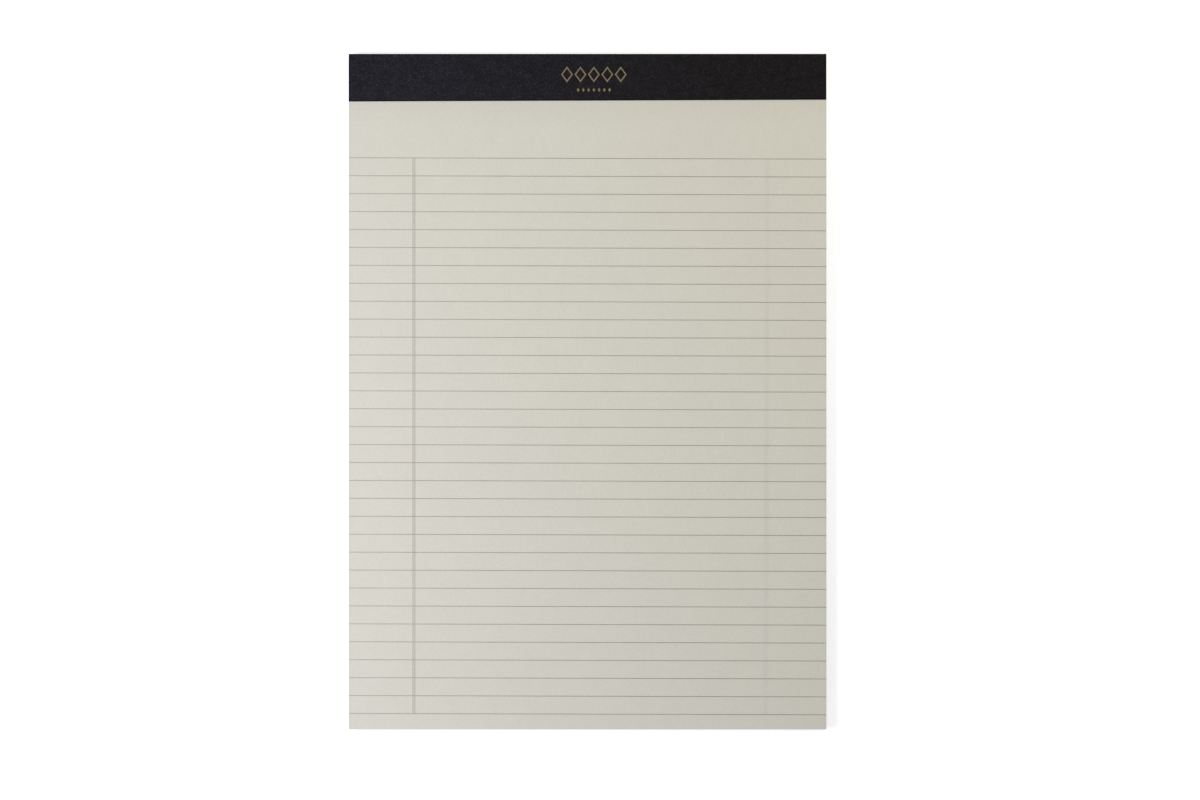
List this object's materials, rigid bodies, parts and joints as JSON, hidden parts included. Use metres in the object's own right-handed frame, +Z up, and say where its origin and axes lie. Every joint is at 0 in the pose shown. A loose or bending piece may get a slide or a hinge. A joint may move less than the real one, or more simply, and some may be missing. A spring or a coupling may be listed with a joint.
{
  "type": "refill writing pad",
  "caption": "Flat head-bound refill pad: a block of ruled cream sheets with a margin line on a chipboard back, glued at the head under a folded black tape.",
  "frame": {"origin": "on the surface that the pad lies on, under the middle of its outline", "axes": "+X across the page to the right, +Y along the page to the bound head, +Z up out of the page"},
  "size_m": [0.21, 0.297, 0.0062],
  "materials": {
    "chipboard": "rough recycled grey board with flecks",
    "paper": "uncoated, slightly warm grey-cream writing paper",
    "glue": "cured flexible padding glue",
    "tape": "black binding paper with a fine embossed grain",
    "ink": "thin neutral grey printing ink",
    "foil": "dull gold hot foil"
  },
  "bodies": {
    "root": {"backing_board": "chipboard", "sheet_block": "paper", "padding_glue": "glue", "binding_tape": "tape", "ruling": "ink", "foil_ornament": "foil"}
  },
  "joints": []
}
